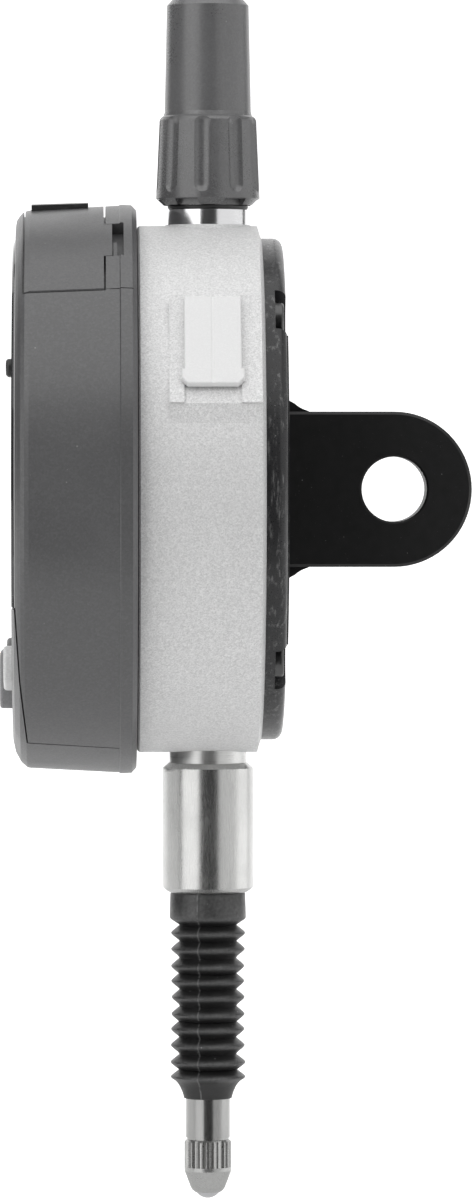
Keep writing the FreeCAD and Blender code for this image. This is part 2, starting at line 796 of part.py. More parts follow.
def keypad_cover():
    whole = turned_y([(0, lens_front), (26.4, lens_front), (27.5, -20.05), (28.5, -19.5),
                      (29.08, -18.85), (29.14, -18.5), (split_radius, head_split - 0.01),
                      (0, head_split - 0.01)])
    plate = rod_y(lens_radius, 0, 0, lens_front, lens_rear)
    plate = plate.common(block(-40, 40, -30, 0, -40, keypad_top - gap / 2))
    rim = whole.common(keypad_slant(0.0)).common(block(-40, 40, -30, 0, -40, keypad_top - gap / 2))
    rim = rim.cut(rod_y(shell_inner - 0.1, 0, 0, lens_rear, 0))
    chin = whole.common(chin_zone(0.0)).cut(rod_y(chin_floor, 0, 0, -30, 0))
    cover = fused([plate, rim, chin])
    for name, (x, z, width, height, tilt, front, corner) in keys.items():
        if z < keypad_top:
            cover = cover.cut(rounded_block_y(x, z, width + 2 * key_play, height + 2 * key_play,
                                              -23, -16, corner + key_play, tilt))
    return cover


def lens():
    disc = rod_y(lens_radius, 0, 0, lens_front, lens_rear)
    disc = disc.common(block(-40, 40, -30, 0, keypad_top + gap / 2, 40))
    rim = [edge for edge in disc.Edges if abs(edge.BoundBox.YMax - lens_front) < 1e-6]
    disc = disc.makeChamfer(0.15, rim)
    x, z, width, height, tilt, front, corner = keys["upper_key"]
    return disc.cut(rounded_block_y(x, z, width + 2 * key_play, height + 2 * key_play,
                                    -23, -16, corner + key_play, tilt))


def make_key(name):
    x, z, width, height, tilt, front, corner = keys[name]
    head = rounded_block_y(x, z, width, height, front, -18.6, corner, tilt)
    face_edges = [edge for edge in head.Edges if abs(edge.BoundBox.YMax - front) < 1e-6]
    head = head.makeFillet(0.35, face_edges)
    flange = rounded_block_y(x, z, width + 1.0, height + (1.0 if z < keypad_top else 0.5),
                             -18.6, -17.6, corner + 0.2, tilt)
    return head.fuse(flange).removeSplitter()


def keypad_mat():
    sheet = block(-19, 19, -16.9, -16.3, -22.8, -13.6).common(rod_y(24.3, 0, 0, -20, -10))
    domes = []
    for name, (x, z, width, height, tilt, front, corner) in keys.items():
        if z < keypad_top:
            domes.append(Part.makeCone(1.6, 1.1, 0.15, point(x, -16.9, z), point(0, -1, 0)))
    return fused([sheet] + domes)


def lcd_panel():
    back_glass = block(-18.5, 18.5, -17.3, -16.4, -11.4, 10.9)
    front_glass = block(-18.5, 18.5, -18.2, -17.3, -8.8, 10.9)
    return back_glass.fuse(front_glass).removeSplitter()


def lcd_frame():
    plate = block(-20, 20, -16.35, -14.8, -12.4, 15.4).common(rod_y(23.6, 0, 0, -20, -10))
    rails = block(-19.6, 19.6, -18.0, -16.0, -12.2, 11.3)
    rails = rails.cut(block(-18.6, 18.6, -19, -15, -11.5, 11.0))
    frame = plate.fuse(rails.common(rod_y(23.6, 0, 0, -20, -10))).removeSplitter()
    frame = frame.cut(block(-15.2, 15.2, -17, -14, -11.2, -9.0))
    return frame.cut(block(-12, 12, -15.6, -14, 0, 8))


def contact_strip():
    return block(-15.0, 15.0, -16.38, board_front - 0.02, -11.0, -9.2)


def display_board():
    disc = rod_y(22.8, 0, 0, board_front, board_rear)
    return disc.common(block(-30, 30, -20, 0, -30, 4.8))


def display_chip():
    chip = block(-4.5, 4.5, board_rear, -12.3, -14.5, -5.5)
    return chip.cut(rod_y(0.5, -3.2, -6.8, -12.5, -12))


def upper_switch():
    x, z = keys["upper_key"][0], keys["upper_key"][1]
    base = block(x - 2.2, x + 2.2, -17.05, -16.35, z - 0.9, z + 0.9)
    return base.fuse(rod_y(0.7, x, z, -17.08, -17.0)).removeSplitter()


def battery():
    rear = battery_front + battery_thickness
    cell = rod_y(battery_radius, 0, battery_height, battery_front + 0.4, rear)
    rim = [edge for edge in cell.Edges if abs(edge.BoundBox.YMin - rear) < 1e-6]
    cell = cell.makeFillet(0.4, rim)
    return cell.fuse(rod_y(battery_radius - 0.9, 0, battery_height, battery_front,
                           battery_front + 0.5)).removeSplitter()


def battery_guide():
    rear = battery_front + battery_thickness
    holder = block(-11.6, 11.6, battery_front - 0.2, rear + 0.3, 5.0, 23.0)
    room = rod_y(battery_radius + 0.1, 0, battery_height, battery_front - 0.1, rear + 0.2)
    room = room.fuse(block(-battery_radius - 0.1, battery_radius + 0.1, battery_front - 0.1,
                           rear + 0.2, battery_height, 30))
    holder = holder.cut(room).cut(rod_y(6.5, 0, battery_height, -20, 0))
    return holder.common(rod_y(26.9, 0, 0, -20, 0))


def battery_contacts():
    rear = battery_front + battery_thickness
    negative = block(-2.0, 2.0, battery_front - 0.3, battery_front - 0.02, 10.5, 20.5)
    positive = block(-2.0, 2.0, rear + 0.02, rear + 0.26, 10.5, 20.5)
    return Part.makeCompound([negative, positive])


def battery_door():
    whole = turned_y([(0, head_front), (28.6, head_front), (28.95, -19.2), (29.12, -18.5),
                      (split_radius, head_split), (0, head_split)])
    skin = whole.common(door_sector(0.0))
    for wedge in latch_sector(0.0, door_rear - 0.3, latch_front):
        skin = skin.fuse(whole.common(wedge))
    skin = skin.removeSplitter()
    lower = [edge for edge in skin.Edges if abs(math.degrees(math.atan2(
        abs(edge.CenterOfMass.x), edge.CenterOfMass.z)) - door_half_angle) < 0.05
        and edge.Length > 5 and edge.CenterOfMass.x ** 2 + edge.CenterOfMass.z ** 2 > 29 ** 2]
    skin = skin.makeChamfer(door_bevel, lower)
    skin = skin.cut(rod_y(door_floor + 0.08, 0, 0, -30, 0))
    return skin.cut(grip_shape(0.02))


def grip_shape(grow):
    solid = rounded_block_y(0, 29, 7.0 + 2 * grow, 8, -18.4 - grow, -12.5 + grow, 0.3)
    ring = turned_y([(door_floor + 0.6 - grow, -19), (29.72, -19), (29.94, -12),
                     (door_floor + 0.6 - grow, -12)])
    return solid.common(ring)


def door_grip():
    return grip_shape(0.0)


def latch_tabs():
    tabs = []
    for side in (-1, 1):
        middle = 90 + side * (latch_angles[1] - 3.0)
        tab_wedge = sector(2.6, 60, latch_front + 0.12, latch_front + 0.5, middle)
        ring = tube_y(head_radius - 0.35, door_floor, -30, 0)
        tabs.append(tab_wedge.common(ring))
    return Part.makeCompound(tabs)


def rear_ring():
    ring = turned_y([(swivel_radius, head_split), (split_radius, head_split),
                     (head_radius + 0.03, head_split + parting),
                     (head_radius - 0.03, -8.0), (29.12, head_rear), (swivel_radius, head_rear)])
    groove = tube_y(stop_circle + 0.8, stop_circle - 0.8, -8.85, head_rear + 1)
    play = math.degrees((stop_pin_radius + 0.05) / stop_circle)
    ring = ring.cut(groove.common(sector_range(90 - stop_half_angle - play,
                                               90 + stop_half_angle + play)))
    for wedge in latch_sector(0.1, head_split - 1, latch_rear):
        ring = ring.cut(wedge.cut(rod_y(door_floor, 0, 0, -30, 0)))
    for angle in ring_screw_angles:
        x, z = on_circle(ring_screw_circle, angle)
        ring = ring.cut(rod_y(0.85, x, z, -12, 0))
        ring = ring.cut(rod_y(1.7, x, z, -8.55, 0))
    for line in hook_lines():
        ring = ring.cut(line)
    return ring


def sector_range(start, end):
    corners = [(0, 0)]
    steps = 30
    for step in range(steps + 1):
        corners.append(on_circle(25, start + (end - start) * step / steps))
    return prism_y(corners, -12, 0)


def ring_screws():
    screws = []
    for angle in ring_screw_angles:
        x, z = on_circle(ring_screw_circle, angle)
        screws.append(cross_head_screw(x, z, 1.6, -8.55, -7.65, 0.78, -13.6))
    return Part.makeCompound(screws)


sub_parts = {
    "housing": housing, "back_gasket": back_gasket, "back_cover": back_cover,
    "back_screws": back_screws, "stem_tube": stem_tube, "stem_sleeve": stem_sleeve,
    "lower_bush": lower_bush, "top_neck": top_neck, "upper_bush": upper_bush,
    "cap_seal": cap_seal, "cap": cap, "spindle": spindle, "contact_point": contact_point,
    "contact_ball": contact_ball, "bellows": bellows, "carrier": carrier,
    "carrier_screw": carrier_screw, "guide_pin": guide_pin, "guide_rail": guide_rail,
    "guide_rail_screws": guide_rail_screws, "stop_buffer": stop_buffer,
    "return_spring": return_spring, "scale_strip": scale_strip,
    "read_head_board": read_head_board, "read_head_chip": read_head_chip,
    "board_screws": board_screws, "port_connector": port_connector, "port_pins": port_pins,
    "port_cover": port_cover, "swivel_hub": swivel_hub, "swivel_washer": swivel_washer,
    "swivel_clip": swivel_clip, "stop_pin": stop_pin, "spiral_flex": spiral_flex,
    "bezel": bezel, "rear_ring": rear_ring, "ring_screws": ring_screws,
    "keypad_cover": keypad_cover, "lens": lens, "keypad_mat": keypad_mat,
    "lcd_panel": lcd_panel, "lcd_frame": lcd_frame, "contact_strip": contact_strip,
    "display_board": display_board, "display_chip": display_chip,
    "upper_switch": upper_switch, "battery": battery, "battery_guide": battery_guide,
    "battery_contacts": battery_contacts, "battery_door": battery_door,
    "door_grip": door_grip, "latch_tabs": latch_tabs,
}

os.makedirs("parts", exist_ok=True)
shapes = {}
for name, make in sub_parts.items():
    shapes[name] = make()
for name in keys:
    shapes[name] = make_key(name)
for name, shape in shapes.items():
    shape.translate(point(0, 0, case_height))
    shape.exportStep("parts/" + name + ".step")
    kind = "ok" if shape.isValid() else "INVALID"
    print(name, kind, len(shape.Solids), round(shape.Volume, 2))
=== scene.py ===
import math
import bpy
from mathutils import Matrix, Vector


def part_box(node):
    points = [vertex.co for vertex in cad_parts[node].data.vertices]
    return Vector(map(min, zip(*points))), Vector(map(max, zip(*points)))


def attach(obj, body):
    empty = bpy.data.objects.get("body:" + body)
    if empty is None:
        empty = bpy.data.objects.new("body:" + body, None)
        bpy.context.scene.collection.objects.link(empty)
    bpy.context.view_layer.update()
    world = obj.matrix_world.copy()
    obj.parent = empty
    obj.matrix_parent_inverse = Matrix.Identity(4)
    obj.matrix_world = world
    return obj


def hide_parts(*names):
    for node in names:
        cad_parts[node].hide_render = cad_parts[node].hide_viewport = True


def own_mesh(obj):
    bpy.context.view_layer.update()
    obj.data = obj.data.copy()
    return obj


bl_info = {
    "name": "Plunger indicator",
    "version": (1, 0, 0),
    "blender": (4, 5, 0),
    "location": "View3D > Sidebar > Indicator",
    "description": "Finishes and soft parts of a plunger indicator round its packed frame",
    "category": "Object",
}

import bpy
from bpy.props import FloatProperty, FloatVectorProperty, IntProperty, PointerProperty
from mathutils import Vector

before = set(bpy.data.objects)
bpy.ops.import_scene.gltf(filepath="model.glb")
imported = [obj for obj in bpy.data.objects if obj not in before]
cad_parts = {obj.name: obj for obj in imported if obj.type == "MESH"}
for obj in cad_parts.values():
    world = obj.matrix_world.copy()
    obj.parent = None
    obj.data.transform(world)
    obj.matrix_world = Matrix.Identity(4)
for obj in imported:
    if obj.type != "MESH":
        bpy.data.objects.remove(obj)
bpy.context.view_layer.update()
MM = 0.001


def span(node, axis):
    """Lowest and highest place of a frame part along an axis, in metres."""
    low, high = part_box(node)
    return low[axis], high[axis]


CASE_HEIGHT = sum(span("rear_ring", 2)) / 2
TIP = span("contact_ball", 2)[0]


def colour_property(name, description, default):
    return FloatVectorProperty(name=name, description=description, default=default,
                               subtype="COLOR", min=0.0, max=1.0)


def length_property(name, description, default):
    return FloatProperty(name=name, description=description, default=default, min=0.0,
                         unit="LENGTH", subtype="DISTANCE", precision=6)


class FinishSettings(bpy.types.PropertyGroup):
    case: colour_property("Case", "Silver paint of the round case", (0.70, 0.70, 0.70))
    tab: colour_property("Port tab", "Silver plastic of the port tab", (0.78, 0.78, 0.78))
    head: colour_property("Head", "Grey plastic of the display head", (0.084, 0.084, 0.086))
    cover: colour_property("Back cover", "Black plastic of the back", (0.010, 0.010, 0.0105))
    cap: colour_property("Cap", "Grey plastic of the screw cap", (0.108, 0.108, 0.110))
    rubber: colour_property("Rubber", "Black rubber", (0.017, 0.017, 0.017))
    light_key: colour_property("Light key", "Light grey key", (0.72, 0.72, 0.72))
    mid_key: colour_property("Middle key", "Middle grey key", (0.24, 0.24, 0.245))
    dark_key: colour_property("Dark key", "Dark key", (0.03, 0.03, 0.03))
    steel: colour_property("Steel", "Ground and turned steel", (0.66, 0.66, 0.65))
    bronze: colour_property("Bronze", "Bushes and rail", (0.58, 0.40, 0.20))
    board: colour_property("Board", "Circuit boards", (0.02, 0.16, 0.07))
    liquid: colour_property("Display", "Liquid crystal background", (0.42, 0.46, 0.40))
    grain: length_property("Grain", "Size of the grain of moulded parts", 0.20 * MM)


class BellowsSettings(bpy.types.PropertyGroup):
    peak: length_property("Fold radius", "Outer radius of the folds", 3.87 * MM)
    valley: length_property("Root radius", "Outer radius between the folds", 2.98 * MM)
    wall: length_property("Wall", "Thickness of the rubber", 0.42 * MM)
    folds: IntProperty(name="Folds", description="Number of folds", default=10, min=1)
    seam_turn: FloatProperty(name="Seam", description="Direction of the mould seam",
                             default=math.radians(-17), subtype="ANGLE", unit="ROTATION")


class DisplaySettings(bpy.types.PropertyGroup):
    digit_height: length_property("Digit height", "Height of the large digits", 8.5 * MM)
    digit_width: length_property("Digit width", "Width of the large digits", 4.4 * MM)
    stroke: length_property("Stroke", "Width of a segment", 0.8 * MM)


class StudioSettings(bpy.types.PropertyGroup):
    distance: length_property("Camera distance", "From the spindle's axis", 0.715)
    side: FloatProperty(name="Camera side", description="Camera place along Y",
                        default=-0.0123, unit="LENGTH")
    height: FloatProperty(name="Camera height", description="Camera place along Z",
                          default=0.0390, unit="LENGTH")
    lens: FloatProperty(name="Focal length", description="In millimetres", default=205.0)
    left_power: FloatProperty(name="Left softbox", description="In watts", default=3.8)
    right_power: FloatProperty(name="Right softbox", description="In watts", default=5.2)
    top_power: FloatProperty(name="Top softbox", description="In watts", default=13.0)
    floor_glow: FloatProperty(name="Floor", description="Light of the floor", default=0.95)
    dim: FloatProperty(name="Room", description="Light of the room", default=0.04)


# ---- shader helpers ----

class Signal:
    """A socket's value: arithmetic on it adds Math nodes to the same material."""

    def __init__(self, finish, socket):
        self.finish = finish
        self.socket = socket

    def combine(self, operation, first, second):
        node = self.finish.node("ShaderNodeMath", {"operation": operation}, {0: first, 1: second})
        return Signal(self.finish, node.outputs[0])

    def __add__(self, other):
        return self.combine("ADD", self, other)

    def __sub__(self, other):
        return self.combine("SUBTRACT", self, other)

    def __rsub__(self, other):
        return self.combine("SUBTRACT", other, self)

    def __mul__(self, other):
        return self.combine("MULTIPLY", self, other)

    __radd__ = __add__
    __rmul__ = __mul__

    def absolute(self):
        return self.combine("ABSOLUTE", self, 0.0)

    def most(self, other):
        return self.combine("MAXIMUM", self, other)

    def root(self):
        return self.combine("POWER", self, 0.5)

    def fit(self, low, high, to_low=0.0, to_high=1.0):
        """Map low..high to to_low..to_high, clamped."""
        node = self.finish.node("ShaderNodeMapRange", {"clamp": True},
                                {"Value": self, "From Min": low, "From Max": high,
                                 "To Min": to_low, "To Max": to_high})
        return Signal(self.finish, node.outputs[0])


SHADER_INPUTS = {"roughness": "Roughness", "metallic": "Metallic", "coat_weight": "Coat Weight",
                 "coat_roughness": "Coat Roughness", "specular_ior_level": "Specular IOR Level"}


class Finish:
    """One material, its Principled shader and the nodes that feed it."""

    def __init__(self, name, **values):
        self.material = bpy.data.materials.new(name)
        self.material.use_nodes = True
        self.tree = self.material.node_tree
        self.shader = self.tree.nodes["Principled BSDF"]
        self.bumps = None
        for key, value in values.items():
            self.put(SHADER_INPUTS[key], value)

    def node(self, kind, settings=None, values=None):
        """Add a node: its settings are set first, then its sockets."""
        node = self.tree.nodes.new(kind)
        for key, value in (settings or {}).items():
            setattr(node, key, value)
        for key, value in (values or {}).items():
            self.connect(node.inputs[key], value)
        return node

    def connect(self, socket, value):
        if isinstance(value, Signal):
            self.tree.links.new(value.socket, socket)
        elif isinstance(value, (tuple, list)) and len(socket.default_value) == 4:
            socket.default_value = tuple(value[:3]) + (1.0,)
        else:
            socket.default_value = value

    def put(self, name, value):
        self.connect(self.shader.inputs[name], value)

    def place(self, stretch=(1, 1, 1), centre=(0, 0, 0)):
        """Object coordinates in millimetres, stretched per axis."""
        coordinates = self.node("ShaderNodeTexCoord")
        scale = tuple(part / MM for part in stretch)
        shift = tuple(-part * much for part, much in zip(centre, scale))
        mapping = self.node("ShaderNodeMapping", None,
                            {"Vector": Signal(self, coordinates.outputs["Object"]),
                             "Scale": scale, "Location": shift})
        return Signal(self, mapping.outputs[0])

    def axes(self, centre=(0, 0, 0)):
        """X, Y and Z in millimetres from a centre given in metres."""
        parts = self.node("ShaderNodeSeparateXYZ", None, {0: self.place(centre=centre)})
        return [Signal(self, output) for output in parts.outputs]

    def radius(self, centre, first, second):
        """Distance in millimetres from an axis, in the plane of two coordinates."""
        parts = self.axes(centre)
        return (parts[first] * parts[first] + parts[second] * parts[second]).root()

    def noise(self, size, stretch=(1, 1, 1), detail=2.0, roughness=0.5):
        """Noise with features of about size millimetres, from 0 to 1."""
        node = self.node("ShaderNodeTexNoise", None,
                         {"Vector": self.place(stretch), "Scale": 1 / size, "Detail": detail,
                          "Roughness": roughness})
        return Signal(self, node.outputs["Fac"])

    def cells(self, size, output="Distance"):
        """Distance to the middle of the nearest cell, or the cell's own random colour."""
        node = self.node("ShaderNodeTexVoronoi", None,
                         {"Vector": self.place(), "Scale": 1 / size})
        return Signal(self, node.outputs[output])

    def flakes(self, size):
        """A random grey for each small cell: the Math node turns its colour grey."""
        return self.cells(size, "Color") * 1.0

    def mix(self, factor, first, second):
        node = self.node("ShaderNodeMix", {"data_type": "RGBA"},
                         {0: factor, 6: first, 7: second})
        return Signal(self, node.outputs[2])

    def bump(self, height, depth):
        """Add relief of depth millimetres; calls stack up."""
        values = {"Height": height, "Distance": depth * MM, "Strength": 1.0}
        if self.bumps is not None:
            values["Normal"] = self.bumps
        node = self.node("ShaderNodeBump", None, values)
        self.bumps = Signal(self, node.outputs[0])
        self.put("Normal", self.bumps)


def shade(colour, much):
    return tuple(min(1.0, part * much) for part in colour[:3])


def moulded(name, colour, roughness=0.5, grain=0.16, depth=0.006, variation=0.08, coat=0.0,
            dust=0.0, specular=0.5):
    """Plastic with a spark-eroded grain, faint flow marks and a little dust."""
    finish = Finish(name, specular_ior_level=specular, coat_weight=coat, coat_roughness=0.12)
    fine = finish.noise(grain, detail=3.0, roughness=0.6)
    pits = finish.flakes(grain * 1.1)
    broad = finish.noise(9.0, detail=2.0)
    tone = finish.mix(broad.fit(0.35, 0.65), shade(colour, 1 - variation),
                      shade(colour, 1 + variation))
    tone = finish.mix(fine.fit(0.35, 0.65, 0.0, 0.7), tone, shade(colour, 1 - 3 * variation))
    tone = finish.mix(pits.fit(0.4, 1.0, 0.0, 0.5), tone, shade(colour, 1 + 6 * variation))
    if dust:
        specks = finish.cells(1.6).fit(0.03, 0.07, 1.0, 0.0)
        kept = finish.noise(5.0).fit(0.5, 0.62)
        tone = finish.mix(specks * kept * dust, tone, (0.45, 0.45, 0.44))
    finish.put("Base Color", tone)
    finish.put("Roughness", broad.fit(0.3, 0.7, roughness - 0.05, roughness + 0.05)
               + fine.fit(0.3, 0.7, -0.03, 0.03))
    finish.bump(fine, depth)
    return finish


def painted_metal(name, colour):
    """Satin silver paint: metallic flakes in a fine pebbled coat."""
    finish = Finish(name, metallic=0.25, specular_ior_level=0.5)
    flakes = finish.flakes(0.12)
    sparks = finish.flakes(0.19).fit(0.72, 0.95, 0.0, 0.5)
    pebble = finish.noise(0.25, detail=3.0, roughness=0.6)
    broad = finish.noise(14.0)
    tone = finish.mix(flakes, shade(colour, 0.78), shade(colour, 1.17))
    tone = finish.mix(sparks, tone, shade(colour, 1.3))
    tone = finish.mix(broad.fit(0.3, 0.7, 0.0, 0.25), tone, shade(colour, 0.93))
    finish.put("Base Color", tone)
    finish.put("Roughness", pebble.fit(0.3, 0.7, 0.48, 0.62))
    finish.bump(pebble, 0.012)
    finish.bump(flakes, 0.003)
    return finish


def turned_metal(name, colour, roughness, lines, depth, stretch=(0.02, 0.02, 1),
                 variation=0.10):
    """Metal with the fine marks of its last cut, running across the stretched axis."""
    finish = Finish(name, metallic=1.0)
    marks = finish.noise(lines, stretch=stretch, detail=4.0, roughness=0.7)
    stain = finish.noise(3.0, detail=3.0)
    tone = finish.mix(marks.fit(0.3, 0.7), shade(colour, 1 - variation),
                      shade(colour, 1 + variation))
    tone = finish.mix(stain.fit(0.45, 0.8, 0.0, 0.25), tone, shade(colour, 0.8))
    finish.put("Base Color", tone)
    finish.put("Roughness", marks.fit(0.25, 0.75, roughness * 0.75, roughness * 1.3)
               + stain.fit(0.4, 0.8, 0.0, 0.05))
    finish.bump(marks, depth)
    return finish


def rubbery(name, colour, seam_turn=None):
    """Moulded rubber with a pale bloom, fine pores and specks; if asked, its mould seam, with a painted
    highlight along it, and painted light on the folds, which replaces the bloom and pore tone: painted
    highlights on the crests, painted shade in the valleys.
    """
    finish = Finish(name, specular_ior_level=0.55)
    pores = finish.noise(0.14, detail=4.0, roughness=0.7)
    bloom = finish.noise(1.3, stretch=(1, 1, 2.2), detail=4.0, roughness=0.65)
    specks = finish.cells(0.9).fit(0.05, 0.09, 1.0, 0.0) * finish.noise(2.5).fit(0.48, 0.56)
    tone = finish.mix(bloom.fit(0.45, 0.68, 0.0, 0.6), colour, shade(colour, 2.8))
    tone = finish.mix(pores.fit(0.5, 0.7, 0.0, 0.4), tone, shade(colour, 3.0))
    if seam_turn is not None:
        # painted light on the folds: the fold edges painted up to 6.5 times paler (painted highlight),
        # the rest 0.55 times as dark (painted shade in the valleys); this replaces the bloom and pore
        # tone
        crest_highlight_mask = finish.radius((0, 0, 0), 0, 1).fit(3.45, 3.9)
        crest = crest_highlight_mask * finish.noise(0.35, detail=3.0)
        tone = finish.mix(crest * 0.8, shade(colour, 0.55), shade(colour, 6.5))
        across, along = finish.axes()[:2]
        away = (across * math.sin(seam_turn) - along * math.cos(seam_turn)).absolute()
        broken = finish.noise(0.5, detail=3.0).fit(0.38, 0.52)
        # painted highlight: a pale broken line along the mould seam's ridge
        line = away.fit(0.04, 0.11, 1.0, 0.0) * broken
        tone = finish.mix(line * 0.7, tone, shade(colour, 8.0))
    tone = finish.mix(specks * 0.7, tone, (0.35, 0.35, 0.35))
    finish.put("Base Color", tone)
    finish.put("Roughness", bloom.fit(0.3, 0.7, 0.30, 0.46))
    finish.bump(pores, 0.010)
    finish.bump(bloom, 0.03)
    return finish


def circuit_board(name, colour):
    """Solder mask over copper tracks, with rows of pads."""
    finish = Finish(name, roughness=0.35, coat_weight=0.3)
    tracks = finish.node("ShaderNodeTexBrick", {"offset": 0.35},
                         {"Vector": finish.place(), "Scale": 0.8, "Mortar Size": 0.06})
    pads = finish.cells(1.1).fit(0.12, 0.16, 1.0, 0.0)
    tone = finish.mix(Signal(finish, tracks.outputs["Fac"]), colour, shade(colour, 1.9))
    tone = finish.mix(pads * finish.noise(6.0).fit(0.5, 0.56), tone, (0.75, 0.62, 0.35))
    finish.put("Base Color", tone)
    finish.bump(finish.noise(0.5) + pads, 0.01)
    return finish


def cover_black(name, colour):
    """Black moulding: a rim painted paler, with fixed pale streaks, both painted highlights, round a
    darker, finely pitted lug.
    """
    finish = Finish(name, specular_ior_level=0.4)
    rim_start = 22.5
    rim_full = 24.5
    rim = finish.radius((0, 0, CASE_HEIGHT), 0, 2).fit(rim_start, rim_full)
    skin = finish.noise(1.1, detail=2.0)
    streaks = finish.noise(0.5, stretch=(1, 1, 0.14), detail=4.0, roughness=0.75)
    fine = finish.noise(0.12, detail=3.0)
    pits = finish.cells(0.42).fit(0.06, 0.13, 1.0, 0.0) * finish.noise(1.4).fit(0.46, 0.56)
    specks = finish.cells(1.1).fit(0.03, 0.06, 1.0, 0.0) * finish.noise(4.0).fit(0.5, 0.58)
    tone = finish.mix(skin.fit(0.3, 0.7), shade(colour, 0.3), shade(colour, 0.6))
    # painted highlight: the rim is painted 2.2 times paler than the rest of the cover
    tone = finish.mix(rim, tone, shade(colour, 2.2))
    tone = finish.mix(pits * 0.6, tone, shade(colour, 6.0))
    # painted highlights: fixed pale grey streaks along the rim
    rim_highlight_streaks = rim * streaks.fit(0.55, 0.66)
    tone = finish.mix(rim_highlight_streaks * 0.6, tone, (0.20, 0.20, 0.20))
    finish.put("Base Color", finish.mix(specks * 0.5, tone, (0.4, 0.4, 0.4)))
    finish.put("Roughness", (1 - rim) * 0.16 + fine.fit(0.3, 0.7, 0.26, 0.34) - rim_highlight_streaks * 0.08)
    finish.bump(skin, 0.02)
    finish.bump(fine, 0.004)
    finish.bump(streaks * rim, 0.006)
    return finish


def face_plate(name):
    """Clear plate printed dark behind, with a clear window and thin pale lines; in millimetres."""
    finish = Finish(name, roughness=0.08, specular_ior_level=0.5, coat_weight=0.6,
                    coat_roughness=0.03)
    half_width = 16.6
    half_height = 8.2
    corner = 1.8
    frame_gap = 0.55
    ring_radius = 24.6
    window_rise = 1.1
    middle = (sum(span("lcd_panel", 0)) / 2, 0.0, CASE_HEIGHT + window_rise * MM)
    across, up = finish.axes(middle)[::2]
    side = (across.absolute() - (half_width - corner)).most(0.0)
    rise = (up.absolute() - (half_height - corner)).most(0.0)
    edge = (side * side + rise * rise).root() - corner
    window = edge.fit(-0.04, 0.04, 1.0, 0.0)
    outline = (edge - frame_gap).absolute().fit(0.10, 0.16, 1.0, 0.0)
    round_face = finish.radius((0, 0, CASE_HEIGHT), 0, 2) - ring_radius
    ring = round_face.absolute().fit(0.12, 0.18, 1.0, 0.0)
    fine = finish.noise(0.2)
    tone = finish.mix(fine.fit(0.3, 0.7), (0.030, 0.031, 0.033), (0.042, 0.043, 0.045))
    tone = finish.mix(outline.most(ring), tone, (0.42, 0.43, 0.44))
    smear = finish.noise(6.0, detail=4.0)
    finish.put("Base Color", tone)
    finish.put("Alpha", 1 - window * 0.9)
    finish.put("Roughness", smear.fit(0.4, 0.7, 0.05, 0.13))
    finish.bump(finish.noise(12.0), 0.01)
    finish.material.surface_render_method = "BLENDED"
    return finish


def liquid_display(name, colour):
    """Grey-green polariser, faintly uneven."""
    finish = Finish(name, roughness=0.35, specular_ior_level=0.4)
    broad = finish.noise(11.0)
    fine = finish.noise(0.12)
    tone = finish.mix(broad.fit(0.3, 0.7), shade(colour, 0.94), shade(colour, 1.05))
    tone = finish.mix(fine.fit(0.3, 0.7, 0.0, 0.2), tone, shade(colour, 0.9))
    finish.put("Base Color", tone)
    finish.bump(fine, 0.002)
    return finish


def build_finishes(colours, seam_turn):
    """Every finish by name; each frame part and new piece takes one of them."""
    steel = tuple(colours.steel)
    grain = colours.grain / MM
    round_y = (0.02, 1, 0.02)
    return {
        "case": painted_metal("satin_case", tuple(colours.case)),
        "tab": moulded("tab_silver", tuple(colours.tab), 0.45, grain * 0.6, 0.005, 0.012),
        "head": moulded("head_grey", tuple(colours.head), 0.36, grain, 0.012, 0.06, dust=0.35,
                        specular=0.7),
        "cover": cover_black("cover_black", tuple(colours.cover)),
        "cap": moulded("cap_grey", tuple(colours.cap), 0.29, grain * 0.9, 0.010, 0.06, dust=0.25,
                       specular=0.9),
        "rubber": rubbery("black_rubber", tuple(colours.rubber)),
        "bellows": rubbery("bellows_rubber", tuple(colours.rubber), seam_turn),
        "black": moulded("black_moulding", (0.025, 0.025, 0.026), 0.5, 0.2, 0.006),
        "light_key": moulded("light_key", tuple(colours.light_key), 0.40, 0.14, 0.004, 0.04),
        "mid_key": moulded("mid_key", tuple(colours.mid_key), 0.42, 0.14, 0.004, 0.05),
        "dark_key": moulded("dark_key", tuple(colours.dark_key), 0.40, 0.14, 0.004, 0.10),
        "ground": turned_metal("ground_steel", shade(steel, 0.80), 0.24, 0.05, 0.0003,
                               stretch=(1, 1, 0.03), variation=0.16),
        "turned": turned_metal("turned_steel", shade(steel, 0.92), 0.30, 0.07, 0.0015),
        "polished": turned_metal("polished_steel", shade(steel, 0.46), 0.20, 0.05, 0.0005,
                                 stretch=(1, 1, 0.04), variation=0.14),
        "chrome": turned_metal("chromed_neck", (0.86, 0.86, 0.87), 0.16, 0.05, 0.0004,
                               variation=0.04),
        "knurled": turned_metal("knurled_steel", shade(steel, 0.62), 0.28, 0.12, 0.003,
                                stretch=(0.6, 0.6, 1)),
        "lapped": turned_metal("lapped_ball", (0.50, 0.50, 0.51), 0.18, 0.05, 0.0003,
                               stretch=(1, 1, 1)),
        "sheet": turned_metal("spring_steel", shade(steel, 0.9), 0.28, 0.10, 0.001,
                              stretch=round_y),
        "screw": turned_metal("blackened_screw", (0.10, 0.10, 0.10), 0.34, 0.06, 0.002,
                              stretch=round_y),
        "bronze": turned_metal("bronze", tuple(colours.bronze), 0.32, 0.08, 0.002),
        "gold": turned_metal("plated_contact", (0.80, 0.60, 0.26), 0.20, 0.10, 0.001,
                             stretch=(1, 0.05, 1)),
        "cell": turned_metal("cell_steel", (0.70, 0.70, 0.70), 0.26, 0.12, 0.001,
                             stretch=(1, 0.2, 0.04)),
        "board": circuit_board("board_green", tuple(colours.board)),
        "flex": moulded("flex_amber", (0.42, 0.20, 0.03), 0.3, 0.3, 0.004, coat=0.4),
        "plate": face_plate("face_plate"),
        "liquid": liquid_display("lcd_glass", tuple(colours.liquid)),
        "ink": moulded("segment_ink", (0.012, 0.013, 0.013), 0.4, 0.1, 0.001),
    }


